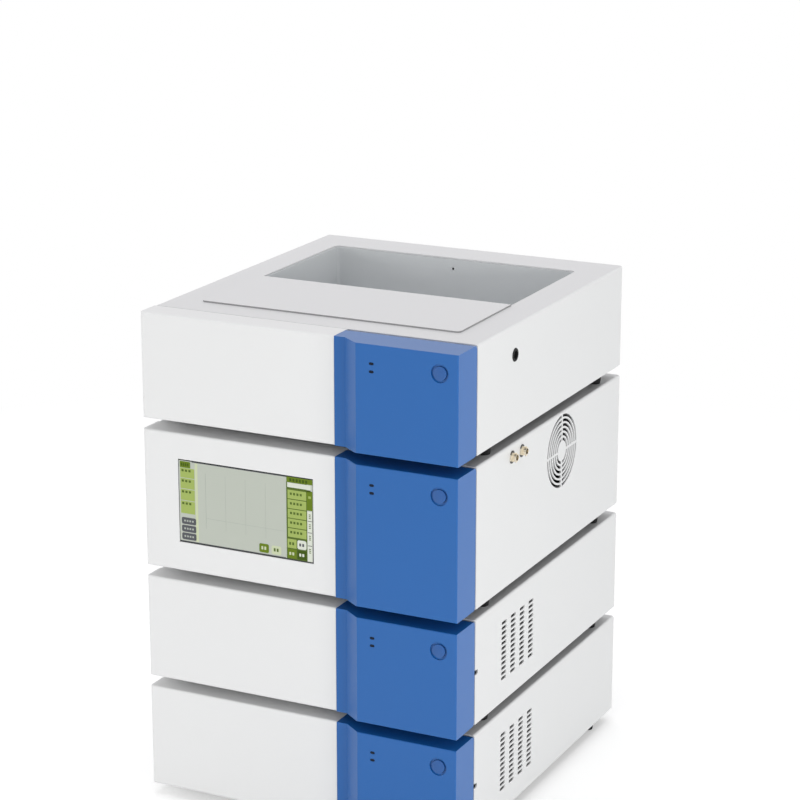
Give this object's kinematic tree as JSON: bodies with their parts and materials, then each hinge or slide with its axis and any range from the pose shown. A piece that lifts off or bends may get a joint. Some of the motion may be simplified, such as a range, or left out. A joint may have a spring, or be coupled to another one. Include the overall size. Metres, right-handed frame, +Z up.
{
  "type": "liquid chromatography system",
  "caption": "Bench-top stack of white instrument modules with blue control panels: a solvent tray, a detector with a touch display and pumps behind hinged front doors.",
  "frame": {"origin": "bottom centre of the whole stack, on the bench between the feet", "axes": "+X to the stack's right (the side with the blue panels and the sockets), +Y from the fronts to the rear, +Z up"},
  "size_m": [0.366, 0.4198, 0.5276],
  "materials": {
    "white_enamel": "fine satin enamel",
    "zinc_sheet": "zinc-plated sheet",
    "white_moulding": "satin",
    "blue_moulding": "satin",
    "blue_button": "satin",
    "smoked_lens": "polished, smoked",
    "well_enamel": "satin grey-white enamel",
    "grommet_rubber": "moulded",
    "degasser_plastic": "moulded",
    "display_glass": "glossy front glass",
    "fan_plastic": "moulded",
    "socket_brass": "turned and plated",
    "washer_plastic": "moulded",
    "cast_aluminium": "bead-blasted",
    "cast_dark": "dark grey paint on a casting",
    "fitting_steel": "turned",
    "board": "solder resist",
    "head_steel": "turned and ground",
    "capillary_steel": "drawn",
    "knob_plastic": "moulded",
    "foot_rubber": "moulded",
    "inlet_plastic": "moulded",
    "port_steel": "nickel-plated",
    "pin_steel": "ground",
    "supply_metal": "plain"
  },
  "bodies": {
    "stack": {"tray_cover": "white_enamel", "tray_chassis": "zinc_sheet", "tray_front_panel": "white_moulding", "tray_control_panel": "blue_moulding", "tray_indicators": "smoked_lens", "tray_well": "well_enamel", "tray_lid": "white_enamel", "tube_grommet": "grommet_rubber", "degasser": "degasser_plastic", "detector_cover": "white_enamel", "detector_chassis": "zinc_sheet", "detector_front_panel": "white_moulding", "detector_display": "display_glass", "detector_control_panel": "blue_moulding", "detector_indicators": "smoked_lens", "fan_frame": "fan_plastic", "signal_sockets": "socket_brass", "socket_washers": "washer_plastic", "optical_bench": "cast_aluminium", "lamp_housing": "cast_dark", "flow_cell": "fitting_steel", "pump_a_cover": "white_enamel", "pump_a_chassis": "zinc_sheet", "pump_a_bulkhead": "zinc_sheet", "pump_a_hinge_bracket": "zinc_sheet", "pump_a_heads": "head_steel", "pump_a_check_valves": "fitting_steel", "pump_a_capillaries": "capillary_steel", "pump_a_purge_valve": "fitting_steel", "pump_a_drive": "cast_dark", "pump_b_cover": "white_enamel", "pump_b_chassis": "zinc_sheet", "pump_b_bulkhead": "zinc_sheet", "pump_b_hinge_bracket": "zinc_sheet", "pump_b_heads": "head_steel", "pump_b_check_valves": "fitting_steel", "pump_b_capillaries": "capillary_steel", "pump_b_purge_valve": "fitting_steel", "pump_b_drive": "cast_dark", "feet": "foot_rubber", "mains_inlets": "inlet_plastic", "data_ports": "port_steel", "hinge_pins": "pin_steel", "power_switches": "board", "power_supplies": "supply_metal"},
    "tray_button": {"tray_power_button": "blue_button"},
    "detector_button": {"detector_power_button": "blue_button"},
    "fan": {"fan_rotor": "fan_plastic"},
    "pump_a_door": {"pump_a_front_panel": "white_moulding", "pump_a_control_panel": "blue_moulding", "pump_a_indicators": "smoked_lens", "pump_a_power_switch": "board"},
    "pump_a_button": {"pump_a_power_button": "blue_button"},
    "pump_a_knob": {"pump_a_purge_knob": "knob_plastic"},
    "pump_b_door": {"pump_b_front_panel": "white_moulding", "pump_b_control_panel": "blue_moulding", "pump_b_indicators": "smoked_lens", "pump_b_power_switch": "board"},
    "pump_b_button": {"pump_b_power_button": "blue_button"},
    "pump_b_knob": {"pump_b_purge_knob": "knob_plastic"}
  },
  "joints": [
    {"name": "tray_button_press", "type": "slide", "parent": "stack", "child": "tray_button", "axis": [0, 1, 0], "range_m": [0, 0.0025], "stiffness_N_per_m": 1200},
    {"name": "detector_button_press", "type": "slide", "parent": "stack", "child": "detector_button", "axis": [0, 1, 0], "range_m": [0, 0.0025], "stiffness_N_per_m": 1200},
    {"name": "fan_spin", "type": "hinge", "parent": "stack", "child": "fan", "pos_m": [0.1533, 0.0489, 0.3612], "axis": [1, 0, 0], "continuous": true},
    {"name": "pump_a_door_hinge", "type": "hinge", "parent": "stack", "child": "pump_a_door", "pos_m": [-0.176, -0.1731, 0.1895], "axis": [0, 0, -1], "range_deg": [0, 90]},
    {"name": "pump_a_button_press", "type": "slide", "parent": "pump_a_door", "child": "pump_a_button", "axis": [0, 1, 0], "range_m": [0, 0.0025], "stiffness_N_per_m": 1200},
    {"name": "pump_a_purge_turn", "type": "hinge", "parent": "stack", "child": "pump_a_knob", "pos_m": [0.067, -0.1533, 0.188], "axis": [0, -1, 0], "range_deg": [0, 180]},
    {"name": "pump_b_door_hinge", "type": "hinge", "parent": "stack", "child": "pump_b_door", "pos_m": [-0.176, -0.1731, 0.067], "axis": [0, 0, -1], "range_deg": [0, 90]},
    {"name": "pump_b_button_press", "type": "slide", "parent": "pump_b_door", "child": "pump_b_button", "axis": [0, 1, 0], "range_m": [0, 0.0025], "stiffness_N_per_m": 1200},
    {"name": "pump_b_purge_turn", "type": "hinge", "parent": "stack", "child": "pump_b_knob", "pos_m": [0.067, -0.1533, 0.0655], "axis": [0, -1, 0], "range_deg": [0, 180]}
  ]
}
